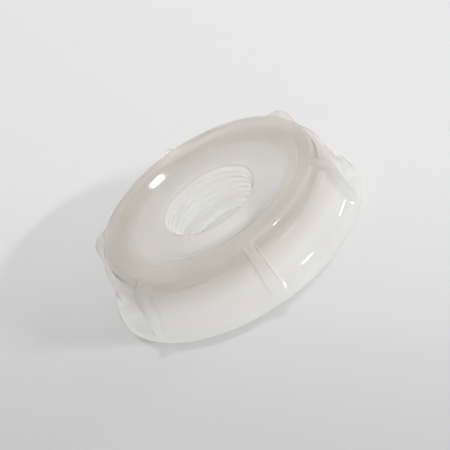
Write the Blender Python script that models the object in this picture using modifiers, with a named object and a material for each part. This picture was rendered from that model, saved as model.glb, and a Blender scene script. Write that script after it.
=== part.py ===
"""Screw cap with a threaded hole for a tap, one moulding in undyed polyethylene.

Metres, +Z up. The cap stands on its open end with the origin at the middle of its base, and
the first grip lug points along +X. In the outlines, r is the distance from the cap's axis.
"""

import math

import bmesh
import bpy
from mathutils import Vector

NAME = "screw_cap"

# Neck thread inside the skirt: coarse, right-hand, for a 60 mm neck
NECK_ROOT_RADIUS = 0.0302
NECK_THREAD_DEPTH = 0.0018
NECK_THREAD_PITCH = 0.0060
NECK_CREST_WIDTH = 0.0014
NECK_FLANK_ANGLE = math.radians(24)
NECK_RUNOUT_ANGLE = math.radians(30)
NECK_THREAD_SEAT_GAP = 0.0008
NECK_THREAD_ANCHOR = 0.0012

# Skirt, with its wall measured at the top, where it is thinnest
SKIRT_WALL = 0.00285
SKIRT_DRAFT = 0.00065
SKIRT_HEIGHT = 0.0082
SHOULDER_RADIUS = 0.0015
LEDGE_WIDTH = 0.00035
COVE_RADIUS = 0.0003

# Flared base, with the lip that the cap stands on
FLANGE_HEIGHT = 0.0038
FLANGE_FLARE = 0.00225
FLARE_RADIUS = 0.0070
LIP_HEIGHT = 0.0020
LIP_DRAFT = 0.00055
LIP_WALL = 0.0024
MOUTH_HEIGHT = 0.0010
LEAD_IN_HEIGHT = 0.0032

# Raised ring round the recess on top
RING_HEIGHT = 0.0036
RING_EDGE_RADIUS = 0.0010
RING_CREST_WIDTH = 0.0054
RING_SLOPE_WIDTH = 0.0038
RECESS_DEPTH = 0.0011
GROOVE_INSET = 0.0008
GROOVE_WIDTH = 0.0013
GROOVE_DEPTH = 0.0002

# Top plate, and the bead under it that seals on the neck's mouth
PLATE_THICKNESS = 0.0025
SEAT_FILLET = 0.0006
SEAL_BEAD_INSET = 0.0016
SEAL_BEAD_WIDTH = 0.0012
SEAL_BEAD_HEIGHT = 0.0007

# Tap hole at the tapping size of a 3/4 inch pipe thread, in a boss that hangs from the plate
BORE_RADIUS = 0.01206
BORE_CHAMFER = 0.00124
BOSS_WALL = 0.0042
BOSS_DRAFT = 0.0004
BOSS_LENGTH = 0.0115
BOSS_EDGE = 0.0005
BOSS_ROOT_FILLET = 0.0012

# Grip lugs: a domed top over a nearly straight outer face that dies into the lip
LUG_COUNT = 6
LUG_REACH = 0.0044
LUG_DOME_HEIGHT = 0.0050
LUG_TOP_DROP = 0.0001
LUG_FOOT_PROUD = 0.00015
LUG_TOP_WIDTH = 0.0027
LUG_FOOT_WIDTH = 0.0038
LUG_EDGE_RADIUS = 0.0011
LUG_ROOT_FILLET = 0.0012
LUG_SINK = 0.00012
LUG_ANCHOR = 0.0008

# Fineness of the round surfaces
TURN_STEPS = 72
ARC_STEPS = 4
SLOPE_STEPS = 6
DOME_STEPS = 12
FLARE_STEPS = 2
LUG_EDGE_STEPS = 3
LUG_FILLET_STEPS = 2
LUG_WALL_STEP = 0.0017

# Heights above the base
LIP_TOP = LIP_HEIGHT
FLANGE_TOP = LIP_TOP + FLANGE_HEIGHT
LEDGE_TOP = FLANGE_TOP + SKIRT_HEIGHT
RING_TOP = LEDGE_TOP + RING_HEIGHT
RECESS_FLOOR = RING_TOP - RECESS_DEPTH
SEAT = RECESS_FLOOR - PLATE_THICKNESS
LEAD_IN_TOP = MOUTH_HEIGHT + LEAD_IN_HEIGHT
BOSS_END = SEAT - BOSS_LENGTH

# Radii, from the neck thread outwards and then back in over the top
SKIRT_TOP_RADIUS = NECK_ROOT_RADIUS + SKIRT_WALL
SKIRT_FOOT_RADIUS = SKIRT_TOP_RADIUS + SKIRT_DRAFT
LIP_TOP_RADIUS = SKIRT_FOOT_RADIUS + FLANGE_FLARE
BASE_RADIUS = LIP_TOP_RADIUS + LIP_DRAFT
MOUTH_RADIUS = BASE_RADIUS - LIP_WALL
RING_RADIUS = SKIRT_TOP_RADIUS - SHOULDER_RADIUS - LEDGE_WIDTH
CREST_INNER_RADIUS = RING_RADIUS - RING_CREST_WIDTH
RECESS_RADIUS = CREST_INNER_RADIUS - RING_SLOPE_WIDTH
NECK_CREST_RADIUS = NECK_ROOT_RADIUS - NECK_THREAD_DEPTH
SEAL_BEAD_RADIUS = NECK_CREST_RADIUS - SEAL_BEAD_INSET
BORE_EDGE_RADIUS = BORE_RADIUS + BORE_CHAMFER
BOSS_END_RADIUS = BORE_RADIUS + BOSS_WALL
BOSS_ROOT_RADIUS = BOSS_END_RADIUS + BOSS_DRAFT


def clear_scene():
    for old in list(bpy.data.objects):
        bpy.data.objects.remove(old, do_unlink=True)


def new_collection(name, parent):
    collection = bpy.data.collections.new(name)
    parent.children.link(collection)
    return collection


def natural_polyethylene():
    """Milky, slightly warm plastic with a soft gloss."""
    material = bpy.data.materials.new("natural_polyethylene")
    material.use_nodes = True
    shader = material.node_tree.nodes["Principled BSDF"]
    shader.inputs["Base Color"].default_value = (0.72, 0.70, 0.66, 1.0)
    shader.inputs["Roughness"].default_value = 0.32
    shader.inputs["Metallic"].default_value = 0.0
    shader.inputs["IOR"].default_value = 1.52
    shader.inputs["Subsurface Weight"].default_value = 0.5
    shader.inputs["Subsurface Radius"].default_value = (0.006, 0.0055, 0.005)
    shader.inputs["Subsurface Scale"].default_value = 1.0
    return material


def arc(centre_r, centre_z, radius, start, end, steps=ARC_STEPS):
    """Points (r, z) of a round stretch from one angle to another, in degrees from the r axis."""
    points = []
    for step in range(steps + 1):
        angle = math.radians(start + (end - start) * step / steps)
        points.append((centre_r + radius * math.cos(angle), centre_z + radius * math.sin(angle)))
    return points


def ring_slope():
    """The smooth rise from the recess floor to the ring's crest, level at both ends."""
    points = []
    for step in range(SLOPE_STEPS + 1):
        share = step / SLOPE_STEPS
        rise = (1 - math.cos(math.pi * share)) / 2
        points.append((RECESS_RADIUS + RING_SLOPE_WIDTH * share, RECESS_FLOOR + RECESS_DEPTH * rise))
    return points


def crest_groove():
    """The fine groove that runs round the ring's crest."""
    inner = CREST_INNER_RADIUS + GROOVE_INSET
    outer = inner + GROOVE_WIDTH
    floor = RING_TOP - GROOVE_DEPTH
    return [
        (inner, RING_TOP),
        (inner + GROOVE_DEPTH, floor),
        (outer - GROOVE_DEPTH, floor),
        (outer, RING_TOP),
    ]


def top_outline():
    """From the hole's edge out over the recess and the ring, and down to the ledge."""
    edge = RING_RADIUS - RING_EDGE_RADIUS
    return [
        (BORE_EDGE_RADIUS, RECESS_FLOOR),
        *ring_slope(),
        *crest_groove(),
        *arc(edge, RING_TOP - RING_EDGE_RADIUS, RING_EDGE_RADIUS, 90, 0),
        *arc(RING_RADIUS + COVE_RADIUS, LEDGE_TOP + COVE_RADIUS, COVE_RADIUS, 180, 270, 2),
    ]


def flare():
    """The hollow curve from the skirt into the flange, tangent to both."""
    skirt_lean = math.atan(SKIRT_DRAFT / (SKIRT_HEIGHT - SHOULDER_RADIUS))
    flange_lean = math.atan(FLANGE_FLARE / FLANGE_HEIGHT)
    reach = FLARE_RADIUS * math.tan((flange_lean - skirt_lean) / 2)
    start_r = SKIRT_FOOT_RADIUS - reach * math.sin(skirt_lean)
    start_z = FLANGE_TOP + reach * math.cos(skirt_lean)
    centre_r = start_r + FLARE_RADIUS * math.cos(skirt_lean)
    centre_z = start_z + FLARE_RADIUS * math.sin(skirt_lean)
    start = 180 + math.degrees(skirt_lean)
    end = 180 + math.degrees(flange_lean)
    return arc(centre_r, centre_z, FLARE_RADIUS, start, end, FLARE_STEPS)


def skirt_outline():
    """From the ledge down the shoulder, the skirt and the flange, to the base."""
    shoulder = SKIRT_TOP_RADIUS - SHOULDER_RADIUS
    return [
        *arc(shoulder, LEDGE_TOP - SHOULDER_RADIUS, SHOULDER_RADIUS, 90, 0),
        *flare(),
        (LIP_TOP_RADIUS, LIP_TOP),
        (BASE_RADIUS, 0.0),
    ]


def inside_outline():
    """From the mouth up the skirt's inner wall, and in along the seat with its sealing bead."""
    bead_half = SEAL_BEAD_WIDTH / 2
    bead_end = SEAT - SEAL_BEAD_HEIGHT
    return [
        (MOUTH_RADIUS, 0.0),
        (MOUTH_RADIUS, MOUTH_HEIGHT),
        (NECK_ROOT_RADIUS, LEAD_IN_TOP),
        *arc(NECK_ROOT_RADIUS - SEAT_FILLET, SEAT - SEAT_FILLET, SEAT_FILLET, 0, 90, 2),
        (SEAL_BEAD_RADIUS + bead_half, SEAT),
        (SEAL_BEAD_RADIUS + bead_half / 4, bead_end),
        (SEAL_BEAD_RADIUS - bead_half / 4, bead_end),
        (SEAL_BEAD_RADIUS - bead_half, SEAT),
    ]


def boss_outline():
    """Down the boss, across its end with both edges broken, and up the bore."""
    root = BOSS_ROOT_RADIUS + BOSS_ROOT_FILLET
    return [
        *arc(root, SEAT - BOSS_ROOT_FILLET, BOSS_ROOT_FILLET, 90, 180, 3),
        (BOSS_END_RADIUS, BOSS_END + BOSS_EDGE),
        (BOSS_END_RADIUS - BOSS_EDGE, BOSS_END),
        (BORE_EDGE_RADIUS, BOSS_END),
        (BORE_RADIUS, BOSS_END + BORE_CHAMFER),
        (BORE_RADIUS, RECESS_FLOOR - BORE_CHAMFER),
    ]


def make_cap_body(collection, material):
    """The section turned round the axis: plate, ring, skirt, flange, lip and boss in one."""
    section = top_outline() + skirt_outline() + inside_outline() + boss_outline()
    count = len(section)
    mesh = bpy.data.meshes.new(NAME)
    mesh.from_pydata(
        [(r, 0.0, z) for r, z in section],
        [(index, (index + 1) % count) for index in range(count)],
        [],
    )
    mesh.materials.append(material)
    cap = bpy.data.objects.new(NAME, mesh)
    collection.objects.link(cap)
    turn = cap.modifiers.new("Turn", "SCREW")
    turn.axis = "Z"
    turn.angle = math.tau
    turn.steps = TURN_STEPS
    turn.render_steps = TURN_STEPS
    turn.use_merge_vertices = True
    turn.merge_threshold = 0.00001
    return cap


def lug_wall():
    """The cap's own surface under a lug, from the ring's edge to the lip."""
    edge_centre = RING_TOP - RING_EDGE_RADIUS
    start = math.degrees(math.asin(1 - LUG_TOP_DROP / RING_EDGE_RADIUS))
    lip_share = LUG_FOOT_PROUD / LIP_DRAFT
    outline = [
        *arc(RING_RADIUS - RING_EDGE_RADIUS, edge_centre, RING_EDGE_RADIUS, start, 0, 2),
        *arc(RING_RADIUS + COVE_RADIUS, LEDGE_TOP + COVE_RADIUS, COVE_RADIUS, 180, 270, 2),
        *skirt_outline()[:-1],
        (LIP_TOP_RADIUS + LUG_FOOT_PROUD, LIP_TOP * (1 - lip_share)),
    ]
    points = [Vector(outline[0])]
    for spot in outline[1:]:
        before = points[-1]
        steps = max(1, round((Vector(spot) - before).length / LUG_WALL_STEP))
        points.extend(before.lerp(Vector(spot), step / steps) for step in range(1, steps + 1))
    return points


def lug_crown(wall):
    """Side view of a lug: over the dome, down the outer face and into the lip."""
    top = RING_TOP - LUG_TOP_DROP
    dome_foot = top - LUG_DOME_HEIGHT
    points = [wall[0]]
    for step in range(DOME_STEPS + 1):
        angle = math.pi / 2 * (1 - step / DOME_STEPS)
        r = RING_RADIUS + LUG_REACH * math.cos(angle)
        points.append(Vector((r, dome_foot + LUG_DOME_HEIGHT * math.sin(angle))))
    points.append(Vector((LIP_TOP_RADIUS + LUG_FOOT_PROUD, LIP_TOP)))
    points.append(wall[-1])
    return points


def ways_along(points):
    """Length of a line up to each of its points."""
    ways = [0.0]
    for before, after in zip(points, points[1:]):
        ways.append(ways[-1] + (after - before).length)
    return ways


def point_along(points, ways, way):
    """The point at a given length along a line."""
    index = 0
    while index < len(points) - 2 and ways[index + 1] < way:
        index += 1
    share = (way - ways[index]) / (ways[index + 1] - ways[index])
    return points[index].lerp(points[index + 1], share)


def lug_half_width(height):
    """A lug is wider at its foot than at its top, so that it leaves the mould."""
    share = height / RING_TOP
    return (LUG_FOOT_WIDTH + (LUG_TOP_WIDTH - LUG_FOOT_WIDTH) * share) / 2


def lug_half_section(half_width, height):
    """Points (across, rise) from a lug's fillet on the wall to the round edge of its crown."""
    fillet = min(LUG_ROOT_FILLET, height / 2)
    edge = min(LUG_EDGE_RADIUS, height / 2)
    points = [(half_width + LUG_ROOT_FILLET, -LUG_SINK)]
    for step in range(1, LUG_FILLET_STEPS + 1):
        angle = math.pi / 2 * step / (LUG_FILLET_STEPS + 0.5)
        across = half_width + LUG_ROOT_FILLET * (1 - math.sin(angle))
        points.append((across, fillet * (1 - math.cos(angle)) - LUG_SINK))
    for step in range(LUG_EDGE_STEPS + 1):
        angle = math.pi / 2 * step / LUG_EDGE_STEPS
        across = half_width - LUG_EDGE_RADIUS * (1 - math.cos(angle))
        points.append((across, height - edge * (1 - math.sin(angle)) - LUG_SINK))
    return points


def loft(name, sections):
    """A closed solid through a row of sections that have the same number of points."""
    shape = bmesh.new()
    rings = [[shape.verts.new(point) for point in section] for section in sections]
    shape.faces.new(rings[0])
    shape.faces.new(rings[-1])
    for here, there in zip(rings, rings[1:]):
        for corner in range(len(here)):
            after = (corner + 1) % len(here)
            shape.faces.new((here[corner], here[after], there[after], there[corner]))
    bmesh.ops.recalc_face_normals(shape, faces=list(shape.faces))
    mesh = bpy.data.meshes.new(name)
    shape.to_mesh(mesh)
    shape.free()
    return mesh


def make_lug_mesh():
    """A lug along +X, lofted from its top to the lip, with its root inside the wall."""
    wall = lug_wall()
    crown = lug_crown(wall)
    wall_ways = ways_along(wall)
    crown_ways = ways_along(crown)
    stretch = crown_ways[-1] / wall_ways[-1]
    sections = []
    for foot, way in zip(wall, wall_ways):
        rise = point_along(crown, crown_ways, way * stretch) - foot
        outward = rise.normalized() if rise.length > LUG_SINK else Vector((1.0, 0.0))
        half = lug_half_section(lug_half_width(foot.y), rise.length)
        root = (half[0][0], -LUG_ANCHOR)
        outline = [root, *half, *((-across, up) for across, up in reversed(half)), (-root[0], root[1])]
        section = []
        for across, up in outline:
            spot = foot + outward * up
            angle = across / spot.x
            section.append((spot.x * math.cos(angle), spot.x * math.sin(angle), spot.y))
        sections.append(section)
    return loft("lug", sections)


def make_lugs(collection):
    mesh = make_lug_mesh()
    for number in range(LUG_COUNT):
        lug = bpy.data.objects.new(f"lug_{number + 1}", mesh)
        lug.rotation_euler.z = math.tau * number / LUG_COUNT
        collection.objects.link(lug)


def thread_section(angle, full_angle, start_height):
    """Points (r, z) of the thread's section at one place, sunk into the wall at its ends."""
    runout = max(0.0, 1 - min(angle, full_angle - angle) / NECK_RUNOUT_ANGLE)
    ease = runout * runout
    tip = NECK_CREST_RADIUS + (NECK_THREAD_DEPTH + NECK_THREAD_ANCHOR / 2) * ease
    anchor = NECK_ROOT_RADIUS + NECK_THREAD_ANCHOR
    tip_half = NECK_CREST_WIDTH / 2
    anchor_half = tip_half + (anchor - tip) * math.tan(NECK_FLANK_ANGLE)
    middle = start_height + NECK_THREAD_PITCH * angle / math.tau
    return [
        (anchor, middle + anchor_half),
        (anchor, middle - anchor_half),
        (tip, middle - tip_half),
        (tip, middle + tip_half),
    ]


def make_neck_thread(collection):
    """A ridge lofted along a right-hand helix, as high as fits between the mouth and the seat."""
    root_half = NECK_CREST_WIDTH / 2 + NECK_THREAD_DEPTH * math.tan(NECK_FLANK_ANGLE)
    start_height = LEAD_IN_TOP + root_half
    end_height = SEAT - NECK_THREAD_SEAT_GAP - root_half
    step_angle = math.tau / TURN_STEPS
    steps = math.floor((end_height - start_height) / NECK_THREAD_PITCH * TURN_STEPS)
    sections = []
    for step in range(steps + 1):
        angle = step_angle * step
        section = thread_section(angle, step_angle * steps, start_height)
        sections.append([(r * math.cos(angle), r * math.sin(angle), z) for r, z in section])
    mesh = loft("neck_thread", sections)
    collection.objects.link(bpy.data.objects.new("neck_thread", mesh))


def join(cap, helpers):
    """Unites the cap with every solid of a collection, and keeps those as wires."""
    union = cap.modifiers.new(helpers.name, "BOOLEAN")
    union.operation = "UNION"
    union.solver = "EXACT"
    union.operand_type = "COLLECTION"
    union.collection = helpers
    for helper in helpers.objects:
        helper.hide_render = True
        helper.display_type = "WIRE"


def finish_surface(cap):
    """Applies the modifiers, and shades the round surfaces smooth up to their sharp edges."""
    graph = bpy.context.evaluated_depsgraph_get()
    mesh = bpy.data.meshes.new_from_object(cap.evaluated_get(graph))
    cap.modifiers.clear()
    cap.data = mesh
    mesh.name = NAME
    mesh.shade_smooth()
    mesh.set_sharp_from_angle(angle=math.radians(30))


def main():
    clear_scene()
    scene = bpy.context.scene.collection
    model = new_collection("Screw cap", scene)
    cutters = new_collection("Cutters", scene)
    cutters.hide_render = True
    lugs = new_collection("Lugs", cutters)
    threads = new_collection("Threads", cutters)
    cap = make_cap_body(model, natural_polyethylene())
    make_lugs(lugs)
    make_neck_thread(threads)
    join(cap, lugs)
    join(cap, threads)
    finish_surface(cap)


main()
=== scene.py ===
"""Looks of the screw cap: its fine surface, its milky plastic, the studio and the camera.

Metres, +Z up, in the part's own frame: the first grip lug points along +X. In the outlines,
r is the distance from the cap's axis.
"""
import math

import bpy
from mathutils import Matrix, Vector


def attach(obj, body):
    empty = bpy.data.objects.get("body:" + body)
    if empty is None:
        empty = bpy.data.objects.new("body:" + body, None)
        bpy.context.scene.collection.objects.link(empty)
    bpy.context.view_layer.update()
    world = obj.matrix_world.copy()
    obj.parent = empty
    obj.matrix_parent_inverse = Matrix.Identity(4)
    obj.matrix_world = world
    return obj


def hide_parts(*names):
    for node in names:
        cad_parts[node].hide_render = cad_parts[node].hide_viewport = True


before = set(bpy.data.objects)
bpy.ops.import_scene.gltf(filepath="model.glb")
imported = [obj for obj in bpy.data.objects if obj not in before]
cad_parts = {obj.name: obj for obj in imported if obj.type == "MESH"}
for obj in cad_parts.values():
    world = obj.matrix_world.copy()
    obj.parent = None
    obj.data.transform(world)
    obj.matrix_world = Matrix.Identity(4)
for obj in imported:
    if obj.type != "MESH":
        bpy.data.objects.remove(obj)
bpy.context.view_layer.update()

# Camera, fitted to the photograph: angles in degrees, lengths in metres
VIEW_AZIMUTH = 237.0
VIEW_ELEVATION = 30.51
VIEW_ROLL = 33.72
VIEW_DISTANCE = 1.3515
VIEW_ANGLE = 5.0
VIEW_SHIFT_RIGHT = -0.003559
VIEW_SHIFT_UP = 0.005252

# Heights above the base, as in the part's source
LIP_TOP = 0.0020
FLANGE_TOP = 0.0058
LEDGE_TOP = 0.0140
RING_TOP = 0.0176
RECESS_FLOOR = 0.0165
SEAT = 0.0140
MOUTH_HEIGHT = 0.0010
LEAD_IN_TOP = 0.0042
BOSS_END = 0.0025

# Radii, as in the part's source, but for the slope's two ends, which suit its rounded corners
BASE_RADIUS = 0.0365
LIP_TOP_RADIUS = 0.03595
MOUTH_RADIUS = 0.0341
SKIRT_FOOT_RADIUS = 0.0337
SKIRT_TOP_RADIUS = 0.03305
RING_RADIUS = 0.0312
CREST_INNER_RADIUS = 0.0258
SLOPE_TOP_RADIUS = 0.0252
RECESS_RADIUS = 0.0222
NECK_ROOT_RADIUS = 0.0302
SEAL_BEAD_RADIUS = 0.0268
BOSS_ROOT_RADIUS = 0.01666
BOSS_END_RADIUS = 0.01626
BORE_EDGE_RADIUS = 0.0133
BORE_RADIUS = 0.01206

# Roundings, the groove on the ring, fainter than the solid's, and the sealing bead
RING_EDGE_ROUND = 0.0010
COVE_ROUND = 0.0003
SHOULDER_ROUND = 0.0015
SLOPE_ROUND = 0.0015
FLARE_ROUND = 0.0070
LIP_ROUND = 0.00125
FINE_ROUND = 0.0002
SEAT_ROUND = 0.0006
BOSS_ROOT_ROUND = 0.0012
GROOVE_INSET = 0.0008
GROOVE_WIDTH = 0.0013
GROOVE_DEPTH = 0.00006
SEAL_BEAD_WIDTH = 0.0012
SEAL_BEAD_HEIGHT = 0.0007

# Grip lugs, whose feet end on the drafted base edge, LUG_END above the base
LUG_COUNT = 6
LUG_REACH = 0.0044
LUG_TOP = 0.0175
LUG_DOME_HEIGHT = 0.0050
LUG_FOOT_PROUD = 0.00015
LUG_TOP_WIDTH = 0.0027
LUG_FOOT_WIDTH = 0.0038
LUG_EDGE_ROUND = 0.0011
LUG_FOOT_ROUND = 0.0012
LUG_SIDE_DRAFT = 0.00012
LUG_LARGEST_ROUND_SHARE = 0.45
LUG_END = LIP_TOP * (1 - LUG_FOOT_PROUD / (BASE_RADIUS - LIP_TOP_RADIUS))

# Coarse neck thread, and the tap hole's 3/4 inch pipe thread, drawn shallow as it shows in the photograph
NECK_THREAD_DEPTH = 0.0018
NECK_THREAD_PITCH = 0.0060
NECK_CREST_HALF = 0.0007
NECK_ROOT_HALF = 0.0015
NECK_THREAD_START = 0.0057
NECK_THREAD_TURNS = 0.986
NECK_RUNOUT_TURNS = 0.083
TAP_THREAD_PITCH = 0.001814
TAP_THREAD_DEPTH = 0.0005

# Colours of the plastic and of its painted shade, browner where it is thick and on the skirt under the
# ring, and of a painted dark line round the hole's edge; and how far the top plate and the skirt's outside
# carry the ring's painted shade
THIN_COLOUR = (0.965, 0.966, 0.952)
THICK_SHADE_COLOUR = (0.76, 0.722, 0.665)
EDGE_SHADE_COLOUR = (0.66, 0.62, 0.56)
PLATE_SHADE_SHARE = 0.45
SKIRT_SHADE_SHARE = 0.8
SKIRT_SHADE_FOOT = 0.0060

# Reach of the painted shade's fades from the recess's and the hole's edge, and of the painted dark line of
# shade round the hole
PLATE_FADE = 0.0015
HOLE_FADE_INSIDE = 0.0008
HOLE_FADE_OUTSIDE = 0.0004
EDGE_LINE_HALF = 0.0001
EDGE_LINE_FADE = 0.0004
EDGE_LINE_FOOT = 0.0008
EDGE_LINE_TOP = 0.0003

# Fine marks of the turned mould: depths in metres, shares of the depth on the ring
MARK_PITCH = 0.0014
SKIRT_MARK_SHARE = 0.15
RECESS_MARK_SHARE = 0.04
MARK_FADE = 0.0010
PATCHES_PER_METRE = 90.0
PATCH_LOW = 0.40
PATCH_HIGH = 0.62
FAINTEST_PATCH = 0.5
SOFT_MARK_DEPTH = 0.00001
GLOSS_MARK_DEPTH = 0.00002

# Fineness of the surface
ARC_STEP = math.radians(13)
WALL_STEP = 0.0007
NECK_STEP = 0.00022
TAP_STEP = 0.00018
LUG_FLAT_STEPS = 3
LUG_ARC_STEPS = 5
STEPS_BETWEEN_LUGS = 22
STEP_TOLERANCE = 0.01
NO_LENGTH = 1e-7

# Studio: the floor's greys run from its ramp's start to its end, up the picture
FLOOR_SIZE = 6.0
FLOOR_RAMP_START = -0.055
FLOOR_RAMP_END = 0.065
FLOOR_GREYS = ((0.0, 0.63), (0.2, 0.70), (0.35, 0.785), (0.5, 0.82), (0.62, 0.85), (1.0, 0.87))
FLOOR_BLUE_SHARE = 1.005
WORLD_STRENGTH = 0.61

# Lamps: name, place, long side, size and power. Places and sides are right, up and back in the picture
LAMPS = (
    ("front_lamp", (0.674, 0.346, 0.942), (0.567, 0.577, -0.587), (0.22, 0.03), 6.0),
    ("side_lamp", (0.899, 0.806, -0.007), (-0.084, 0.156, -0.984), (0.26, 0.03), 2.5),
    ("top_lamp", (-0.486, 1.090, 0.134), (0.712, 0.382, -0.589), (0.08, 0.04), 2.5),
    ("under_lamp", (0.191, -0.287, -0.203), (0.832, 0.555, 0.0), (0.5, 0.5), 1.75),
    ("back_lamp", (0.092, -0.138, -0.364), (0.832, 0.555, 0.0), (0.5, 0.5), 1.05),
)


def rounded(corners):
    """Points (r, z) along straight runs from corners (r, z, radius), each corner rounded."""
    spots = [Vector(corner[:2]) for corner in corners]
    points = [spots[0]]
    for before, spot, after, corner in zip(spots, spots[1:], spots[2:], corners[1:]):
        back = (before - spot).normalized()
        onward = (after - spot).normalized()
        turn = math.pi - back.angle(onward)
        if corner[2] == 0:
            points.append(spot)
            continue
        centre = spot + (back + onward).normalized() * corner[2] / math.cos(turn / 2)
        start = spot + back * corner[2] * math.tan(turn / 2) - centre
        side = math.copysign(1, back.x * onward.y - back.y * onward.x)
        steps = max(2, round(turn / ARC_STEP))
        for step in range(steps + 1):
            angle = -side * turn * step / steps
            points.append(centre + Matrix.Rotation(angle, 2) @ start)
    points.append(spots[-1])
    return points


def refined(points, longest):
    """The same line with points added, so that no run is longer than a given length."""
    fine = [points[0]]
    for before, after in zip(points, points[1:]):
        steps = max(1, math.ceil((after - before).length / longest - STEP_TOLERANCE))
        fine.extend(before.lerp(after, step / steps) for step in range(1, steps + 1))
    return fine


def top_path():
    """From the hole's edge out over the recess, and up to the ring's crest with its groove."""
    corners = (
        (BORE_EDGE_RADIUS + FINE_ROUND, RECESS_FLOOR, 0),
        (RECESS_RADIUS, RECESS_FLOOR, SLOPE_ROUND),
        (SLOPE_TOP_RADIUS, RING_TOP, SLOPE_ROUND),
        (CREST_INNER_RADIUS, RING_TOP, 0),
    )
    points = rounded(corners)
    groove_steps = 8
    for step in range(groove_steps + 1):
        share = step / groove_steps
        dip = (1 - math.cos(math.tau * share)) / 2
        r = CREST_INNER_RADIUS + GROOVE_INSET + GROOVE_WIDTH * share
        points.append(Vector((r, RING_TOP - GROOVE_DEPTH * dip)))
    return refined(points, WALL_STEP)


def upper_wall_path():
    """Over the ring's outer edge, down to the level of the lugs' tops."""
    corners = (
        (RING_RADIUS - 2 * RING_EDGE_ROUND, RING_TOP, 0),
        (RING_RADIUS, RING_TOP, RING_EDGE_ROUND),
        (RING_RADIUS, RING_TOP - 1.5 * RING_EDGE_ROUND, 0),
    )
    return [point for point in rounded(corners)[1:] if point.y > LUG_TOP]


def lug_wall_path():
    """The wall beside a lug: ring, ledge, shoulder, skirt, flange and the lip's upper part."""
    drop = LUG_TOP - (RING_TOP - RING_EDGE_ROUND)
    start_radius = RING_RADIUS - RING_EDGE_ROUND + math.sqrt(RING_EDGE_ROUND ** 2 - drop ** 2)
    corners = (
        (start_radius, LUG_TOP, 0),
        (RING_RADIUS, LUG_TOP - drop, FINE_ROUND),
        (RING_RADIUS, LEDGE_TOP, COVE_ROUND),
        (SKIRT_TOP_RADIUS, LEDGE_TOP, SHOULDER_ROUND),
        (SKIRT_FOOT_RADIUS, FLANGE_TOP, FLARE_ROUND),
        (LIP_TOP_RADIUS, LIP_TOP, LIP_ROUND),
        (LIP_TOP_RADIUS + LUG_FOOT_PROUD, LUG_END, 0),
    )
    return refined(rounded(corners), WALL_STEP)


def lug_crown_path(wall):
    """The middle line of a lug's outer face, with a point for each point of the wall beside it."""
    dome_foot = LUG_TOP - LUG_DOME_HEIGHT
    outline = [wall[0]]
    dome_steps = 40
    for step in range(dome_steps + 1):
        angle = math.pi / 2 * (1 - step / dome_steps)
        outline.append(Vector((
            RING_RADIUS + LUG_REACH * math.cos(angle),
            dome_foot + LUG_DOME_HEIGHT * math.sin(angle),
        )))
    outline.append(Vector((LIP_TOP_RADIUS + LUG_FOOT_PROUD, LIP_TOP)))
    outline.append(wall[-1])
    wall_ways = lengths_along(wall)
    crown_ways = lengths_along(outline)
    stretch = crown_ways[-1] / wall_ways[-1]
    return [point_at(outline, crown_ways, way * stretch) for way in wall_ways]


def lengths_along(points):
    """For each point of a line, the length of the line up to it."""
    ways = [0.0]
    for before, after in zip(points, points[1:]):
        ways.append(ways[-1] + (after - before).length)
    return ways


def point_at(points, ways, way):
    """The point at a given length along a line."""
    for index in range(len(points) - 1):
        if way <= ways[index + 1]:
            run = ways[index + 1] - ways[index]
            share = (way - ways[index]) / run if run else 0.0
            return points[index].lerp(points[index + 1], share)
    return points[-1]


def base_path():
    """From below the lugs round the base edge, in under the lip and up to the lead-in."""
    corners = (
        (LIP_TOP_RADIUS + LUG_FOOT_PROUD, LUG_END, 0),
        (BASE_RADIUS, 0.0, FINE_ROUND),
        (MOUTH_RADIUS, 0.0, FINE_ROUND),
        (MOUTH_RADIUS, MOUTH_HEIGHT, FINE_ROUND),
        (NECK_ROOT_RADIUS, LEAD_IN_TOP, 0),
    )
    return refined(rounded(corners), WALL_STEP)[1:]


def neck_wall_path():
    """The inner wall of the skirt, where the neck thread runs."""
    top = SEAT - SEAT_ROUND
    points = [Vector((NECK_ROOT_RADIUS, LEAD_IN_TOP)), Vector((NECK_ROOT_RADIUS, top))]
    return refined(points, NECK_STEP)[1:]


def seat_path():
    """In under the top plate with its sealing bead, down the boss and across its end."""
    bead_half = SEAL_BEAD_WIDTH / 2
    bead_end = SEAT - SEAL_BEAD_HEIGHT
    corners = (
        (NECK_ROOT_RADIUS, SEAT - 2 * SEAT_ROUND, 0),
        (NECK_ROOT_RADIUS, SEAT, SEAT_ROUND),
        (SEAL_BEAD_RADIUS + bead_half, SEAT, FINE_ROUND / 2),
        (SEAL_BEAD_RADIUS + bead_half / 4, bead_end, FINE_ROUND / 2),
        (SEAL_BEAD_RADIUS - bead_half / 4, bead_end, FINE_ROUND / 2),
        (SEAL_BEAD_RADIUS - bead_half, SEAT, FINE_ROUND / 2),
        (BOSS_ROOT_RADIUS, SEAT, BOSS_ROOT_ROUND),
        (BOSS_END_RADIUS, BOSS_END, 2 * FINE_ROUND),
        (BORE_EDGE_RADIUS, BOSS_END, 0),
    )
    return refined(rounded(corners)[2:], 2 * WALL_STEP)


def bore_heights():
    """Heights of the rows up the tap hole, close enough together for its thread."""
    steps = round((RECESS_FLOOR - BOSS_END) / TAP_STEP)
    return [BOSS_END + (RECESS_FLOOR - BOSS_END) * step / steps for step in range(1, steps + 1)]


def smooth(share):
    """Eases a share between 0 and 1, level at both ends."""
    share = min(1.0, max(0.0, share))
    return share * share * (3 - 2 * share)


def bore_radius(angle, height):
    """The tap hole's thread, right-hand, opened by a chamfer at both ends."""
    phase = (height / TAP_THREAD_PITCH - angle / math.tau) % 1.0
    thread = BORE_RADIUS + TAP_THREAD_DEPTH * smooth(abs(2 * phase - 1))
    chamfer = BORE_EDGE_RADIUS - min(RECESS_FLOOR - height, height - BOSS_END)
    return max(thread, chamfer)


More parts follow.
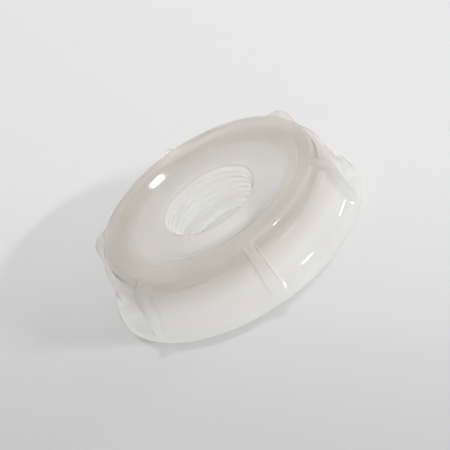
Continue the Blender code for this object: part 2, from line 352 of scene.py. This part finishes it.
def neck_radius(angle, height):
    """The skirt's inner wall with its one turn of right-hand thread, run out at both ends."""
    turns = (angle / math.tau) % 1.0
    if turns > NECK_THREAD_TURNS:
        return NECK_ROOT_RADIUS
    middle = NECK_THREAD_START + NECK_THREAD_PITCH * turns
    share = (NECK_ROOT_HALF - abs(height - middle)) / (NECK_ROOT_HALF - NECK_CREST_HALF)
    runout = min(turns, NECK_THREAD_TURNS - turns) / NECK_RUNOUT_TURNS
    return NECK_ROOT_RADIUS - NECK_THREAD_DEPTH * smooth(share) * smooth(runout)


def lug_half_section(height, half_width):
    """Points (across, rise) from a lug's middle to the wall: flat, rounded edge, side and fillet."""
    edge = min(LUG_EDGE_ROUND, LUG_LARGEST_ROUND_SHARE * height)
    foot = min(LUG_FOOT_ROUND, LUG_LARGEST_ROUND_SHARE * height)
    half_flat = half_width - LUG_EDGE_ROUND
    points = [(half_flat * step / LUG_FLAT_STEPS, height) for step in range(LUG_FLAT_STEPS)]
    for step in range(LUG_ARC_STEPS + 1):
        angle = math.pi / 2 * step / LUG_ARC_STEPS
        points.append((half_flat + LUG_EDGE_ROUND * math.sin(angle), height - edge * (1 - math.cos(angle))))
    for step in range(LUG_ARC_STEPS + 1):
        angle = math.pi / 2 * step / LUG_ARC_STEPS
        across = half_width + LUG_SIDE_DRAFT + LUG_FOOT_ROUND * (1 - math.cos(angle))
        points.append((across, foot * (1 - math.sin(angle))))
    return points


def lug_half_width(height):
    """Half of a lug's width, which narrows towards the top."""
    share = height / RING_TOP
    return (LUG_FOOT_WIDTH + (LUG_TOP_WIDTH - LUG_FOOT_WIDTH) * share) / 2


def lug_columns(wall):
    """For each column across a lug: its angle from the lug's middle, and its points down the wall."""
    crown = lug_crown_path(wall)
    sections = []
    for foot, top in zip(wall, crown):
        sections.append(lug_half_section((top - foot).length, lug_half_width(foot.y)))
    columns = []
    for column in range(len(sections[0])):
        points = []
        for foot, top, section in zip(wall, crown, sections):
            across, rise = section[column]
            height = (top - foot).length
            spot = foot.lerp(top, rise / height if height > NO_LENGTH else 0.0)
            points.append((spot.x, spot.y, across / spot.x))
        columns.append((points[len(points) // 2][2], points))
    mirrored = [(-angle, [(r, z, -turn) for r, z, turn in points]) for angle, points in columns[:0:-1]]
    return mirrored + columns


def place(r, z, angle):
    """The point at a distance from the axis, a height and an angle round the axis."""
    return (r * math.cos(angle), r * math.sin(angle), z)


def make_fine_cap(material):
    """The cap's whole surface as one closed sheet, lofted through a section at each angle."""
    top = top_path()
    upper = upper_wall_path()
    wall = lug_wall_path()
    base = base_path()
    neck = neck_wall_path()
    seat = seat_path()[1:]
    bore = bore_heights()
    lug = lug_columns(wall)
    plain = [(point.x, point.y, 0.0) for point in wall]
    gap_start = lug[-1][0]
    gap = math.tau / LUG_COUNT - 2 * gap_start
    columns = []
    for number in range(LUG_COUNT):
        middle = math.tau * number / LUG_COUNT
        columns.extend((middle + angle, middle, points) for angle, points in lug)
        for step in range(1, STEPS_BETWEEN_LUGS):
            angle = middle + gap_start + gap * step / STEPS_BETWEEN_LUGS
            columns.append((angle, angle, plain))
    vertices = []
    for angle, middle, points in columns:
        vertices.extend(place(point.x, point.y, angle) for point in top + upper)
        vertices.extend(place(r, z, middle + turn) for r, z, turn in points)
        vertices.extend(place(point.x, point.y, angle) for point in base)
        vertices.extend(place(neck_radius(angle, point.y), point.y, angle) for point in neck)
        vertices.extend(place(point.x, point.y, angle) for point in seat)
        vertices.extend(place(bore_radius(angle, height), height, angle) for height in bore)
    rows = len(vertices) // len(columns)
    faces = []
    for column in range(len(columns)):
        here = column * rows
        there = (column + 1) % len(columns) * rows
        for row in range(rows):
            after = (row + 1) % rows
            faces.append((here + row, here + after, there + after, there + row))
    mesh = bpy.data.meshes.new("fine_cap")
    mesh.from_pydata(vertices, [], faces)
    mesh.materials.append(material)
    mesh.shade_smooth()
    cap = bpy.data.objects.new("fine_cap", mesh)
    bpy.context.scene.collection.objects.link(cap)
    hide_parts("screw_cap")
    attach(cap, "root")


def view_axes():
    """Right, up and backward directions of the level camera, before its roll."""
    azimuth = math.radians(VIEW_AZIMUTH)
    elevation = math.radians(VIEW_ELEVATION)
    back = Vector((
        math.cos(azimuth) * math.cos(elevation),
        math.sin(azimuth) * math.cos(elevation),
        math.sin(elevation),
    ))
    right = Vector((-math.sin(azimuth), math.cos(azimuth), 0.0))
    return right, back.cross(right), back


def picture_axes():
    """The picture's right and up directions after the camera's roll, and the one back to the camera."""
    right, up, back = view_axes()
    roll = math.radians(VIEW_ROLL)
    picture_right = right * math.cos(roll) - up * math.sin(roll)
    picture_up = right * math.sin(roll) + up * math.cos(roll)
    return picture_right, picture_up, back


def from_picture(amounts):
    """The vector that goes these amounts right, up and back in the picture."""
    return sum((axis * amount for axis, amount in zip(picture_axes(), amounts)), Vector())


def add_camera():
    """The camera, at the photograph's viewing angle."""
    right, up, back = picture_axes()
    camera = bpy.data.objects.new("camera", bpy.data.cameras.new("camera"))
    camera.data.angle = math.radians(VIEW_ANGLE)
    camera.data.clip_start = 0.01
    camera.data.clip_end = 20.0
    spot = back * VIEW_DISTANCE + right * VIEW_SHIFT_RIGHT + up * VIEW_SHIFT_UP
    camera.matrix_world = Matrix.Translation(spot) @ Matrix((right, up, back)).transposed().to_4x4()
    bpy.context.scene.collection.objects.link(camera)
    bpy.context.scene.camera = camera


def new_material(name):
    """A new material with its node tree and its main shader."""
    material = bpy.data.materials.new(name)
    material.use_nodes = True
    return material, material.node_tree, material.node_tree.nodes["Principled BSDF"]


def plastic():
    """Undyed polyethylene: milky and translucent, with a soft gloss; its colour carries painted shade,
    browner where it is thick and under the ring, and a painted dark line round the hole.
    """
    material, tree, shader = new_material("milky_polyethylene")
    shader.inputs["Roughness"].default_value = 0.75
    shader.inputs["IOR"].default_value = 1.38
    shader.inputs["Subsurface Weight"].default_value = 1.0
    shader.inputs["Subsurface Radius"].default_value = (1.0, 0.95, 0.85)
    shader.inputs["Subsurface Scale"].default_value = 0.010
    shader.inputs["Transmission Weight"].default_value = 0.88
    shader.inputs["Coat Weight"].default_value = 0.6
    shader.inputs["Coat Roughness"].default_value = 0.08
    shader.inputs["Coat IOR"].default_value = 1.65
    distance, height = cap_coordinates(tree)
    # Painted shade in the colour: browner where the plastic is thick and on the skirt under the ring, and a
    # dark line round the hole's edge
    colour = mixed_colour(tree, thick_shade_share(tree, distance, height), THIN_COLOUR, THICK_SHADE_COLOUR)
    colour = mixed_colour(tree, edge_shade_share(tree, distance, height), colour, EDGE_SHADE_COLOUR)
    tree.links.new(colour, shader.inputs["Base Color"])
    marks = turned_marks(tree, distance, height)
    for socket, depth in (("Normal", SOFT_MARK_DEPTH), ("Coat Normal", GLOSS_MARK_DEPTH)):
        bump = tree.nodes.new("ShaderNodeBump")
        bump.inputs["Distance"].default_value = depth
        tree.links.new(marks, bump.inputs["Height"])
        tree.links.new(bump.outputs["Normal"], shader.inputs[socket])
    return material


def turned_marks(tree, distance, height):
    """The fine rings that the turned mould left on the ring and the skirt, faint in the recess."""
    coordinates = tree.nodes.new("ShaderNodeTexCoord")
    way = calculated(tree, "SUBTRACT", distance, height)
    rings = calculated(tree, "SINE", calculated(tree, "MULTIPLY", way, math.tau / MARK_PITCH))
    patches = noise(tree, coordinates.outputs["Object"], PATCHES_PER_METRE, 2.0)
    patchy = eased_range(tree, patches, PATCH_LOW, PATCH_HIGH, FAINTEST_PATCH, 1.0)
    crest = CREST_INNER_RADIUS + MARK_FADE
    outward = eased_range(tree, distance, SLOPE_TOP_RADIUS, crest, RECESS_MARK_SHARE, 1.0)
    upward = eased_range(tree, height, LEDGE_TOP, RING_TOP, SKIRT_MARK_SHARE, 1.0)
    return product(tree, product(tree, rings, patchy), product(tree, outward, upward))


def noise(tree, place_socket, scale, detail):
    """Soft random patches, between 0 and 1."""
    node = tree.nodes.new("ShaderNodeTexNoise")
    node.inputs["Scale"].default_value = scale
    node.inputs["Detail"].default_value = detail
    tree.links.new(place_socket, node.inputs["Vector"])
    return node.outputs["Fac"]


def calculated(tree, operation, *values):
    """A sum, product or the like of sockets and fixed numbers."""
    node = tree.nodes.new("ShaderNodeMath")
    node.operation = operation
    for socket, value in zip(node.inputs, values):
        if isinstance(value, float):
            socket.default_value = value
        else:
            tree.links.new(value, socket)
    return node.outputs["Value"]


def cap_coordinates(tree):
    """The distance from the cap's axis and the height above its base, at each point."""
    coordinates = tree.nodes.new("ShaderNodeTexCoord")
    parts = tree.nodes.new("ShaderNodeSeparateXYZ")
    tree.links.new(coordinates.outputs["Object"], parts.inputs["Vector"])
    flat = tree.nodes.new("ShaderNodeVectorMath")
    flat.operation = "MULTIPLY"
    flat.inputs[1].default_value = (1.0, 1.0, 0.0)
    tree.links.new(coordinates.outputs["Object"], flat.inputs[0])
    distance = tree.nodes.new("ShaderNodeVectorMath")
    distance.operation = "LENGTH"
    tree.links.new(flat.outputs["Vector"], distance.inputs[0])
    return distance.outputs["Value"], parts.outputs["Z"]


def eased_range(tree, value, low, high, start=0.0, end=1.0):
    """A number that eases from start to end as a value goes from low to high."""
    span = tree.nodes.new("ShaderNodeMapRange")
    span.interpolation_type = "SMOOTHSTEP"
    span.inputs["From Min"].default_value = low
    span.inputs["From Max"].default_value = high
    span.inputs["To Min"].default_value = start
    span.inputs["To Max"].default_value = end
    tree.links.new(value, span.inputs["Value"])
    return span.outputs["Result"]


def product(tree, first, second):
    """Two numbers multiplied, each a socket or fixed."""
    return calculated(tree, "MULTIPLY", first, second)


def mixed_colour(tree, share, first, second):
    """A mix of two colours, each a fixed colour or a socket, by a share."""
    mix = tree.nodes.new("ShaderNodeMix")
    mix.data_type = "RGBA"
    tree.links.new(share, mix.inputs["Factor"])
    for name, colour in (("A", first), ("B", second)):
        if isinstance(colour, tuple):
            mix.inputs[name].default_value = (*colour, 1.0)
        else:
            tree.links.new(colour, mix.inputs[name])
    return mix.outputs["Result"]


def thick_shade_share(tree, distance, height):
    """Share of painted shade, standing in for light lost in thick plastic and for shade under the ring:
    full on the ring, less on the skirt's root under it and on the top plate; it fades down the skirt and
    near the hole.
    """
    fade_start = RECESS_RADIUS - PLATE_FADE
    inner = eased_range(tree, distance, fade_start, CREST_INNER_RADIUS, PLATE_SHADE_SHARE, 1.0)
    outer = eased_range(tree, distance, RING_RADIUS, SKIRT_TOP_RADIUS, 1.0, SKIRT_SHADE_SHARE)
    upper = eased_range(tree, height, SKIRT_SHADE_FOOT, LEDGE_TOP)
    hole_start = BORE_EDGE_RADIUS - HOLE_FADE_INSIDE
    beyond_hole = eased_range(tree, distance, hole_start, BORE_EDGE_RADIUS + HOLE_FADE_OUTSIDE)
    return product(tree, product(tree, inner, outer), product(tree, upper, beyond_hole))


def edge_shade_share(tree, distance, height):
    """Painted shade: a thin dark line round the edge of the tap hole, where its chamfer falls into shade.
    """
    line_start = BORE_EDGE_RADIUS - EDGE_LINE_HALF
    line_end = BORE_EDGE_RADIUS + EDGE_LINE_HALF
    inside = eased_range(tree, distance, BORE_EDGE_RADIUS - EDGE_LINE_FADE, line_start)
    outside = eased_range(tree, distance, line_end, BORE_EDGE_RADIUS + EDGE_LINE_FADE, 1.0, 0.0)
    top = eased_range(tree, height, RECESS_FLOOR - EDGE_LINE_FOOT, RECESS_FLOOR - EDGE_LINE_TOP)
    return product(tree, product(tree, inside, outside), top)


def floor_material():
    """Pale paper whose grey deepens towards the picture's lower edge, as in the photograph."""
    material, tree, shader = new_material("floor")
    shader.inputs["Roughness"].default_value = 0.9
    shader.inputs["Specular IOR Level"].default_value = 0.0
    up = picture_axes()[1]
    place_node = tree.nodes.new("ShaderNodeTexCoord")
    height = tree.nodes.new("ShaderNodeVectorMath")
    height.operation = "DOT_PRODUCT"
    height.inputs[1].default_value = (up.x, up.y, 0.0)
    tree.links.new(place_node.outputs["Object"], height.inputs[0])
    span = tree.nodes.new("ShaderNodeMapRange")
    span.inputs["From Min"].default_value = FLOOR_RAMP_START
    span.inputs["From Max"].default_value = FLOOR_RAMP_END
    tree.links.new(height.outputs["Value"], span.inputs["Value"])
    ramp = tree.nodes.new("ShaderNodeValToRGB")
    ramp.color_ramp.interpolation = "B_SPLINE"
    while len(ramp.color_ramp.elements) < len(FLOOR_GREYS):
        ramp.color_ramp.elements.new(0.5)
    for element, (position, grey) in zip(ramp.color_ramp.elements, FLOOR_GREYS):
        element.position = position
        element.color = (grey, grey, grey * FLOOR_BLUE_SHARE, 1.0)
    tree.links.new(span.outputs["Result"], ramp.inputs["Fac"])
    tree.links.new(ramp.outputs["Color"], shader.inputs["Base Color"])
    return material


def add_floor():
    """The floor, which takes the cap's shadow and lets the light from below through."""
    bpy.ops.mesh.primitive_plane_add(size=FLOOR_SIZE, location=(0, 0, 0))
    floor = bpy.context.object
    floor.name = "floor"
    floor.data.materials.append(floor_material())
    floor.visible_shadow = False


def add_lamp(name, lamp_place, long_side, size, power):
    """A soft rectangular lamp that faces the cap."""
    spot = from_picture(lamp_place)
    away = spot.normalized()
    across = away.cross(from_picture(long_side)).normalized()
    along = across.cross(away)
    data = bpy.data.lights.new(name, "AREA")
    data.shape = "RECTANGLE"
    data.size, data.size_y = size
    data.energy = power
    lamp = bpy.data.objects.new(name, data)
    lamp.matrix_world = Matrix.Translation(spot) @ Matrix((along, across, away)).transposed().to_4x4()
    bpy.context.scene.collection.objects.link(lamp)


def add_world():
    """Even white light from all round."""
    world = bpy.data.worlds.new("studio")
    world.use_nodes = True
    background = world.node_tree.nodes["Background"]
    background.inputs["Color"].default_value = (1.0, 1.0, 1.0, 1.0)
    background.inputs["Strength"].default_value = WORLD_STRENGTH
    bpy.context.scene.world = world


make_fine_cap(plastic())
add_camera()
add_floor()
add_world()
for lamp_row in LAMPS:
    add_lamp(*lamp_row)

bpy.context.scene.view_settings.view_transform = "Standard"
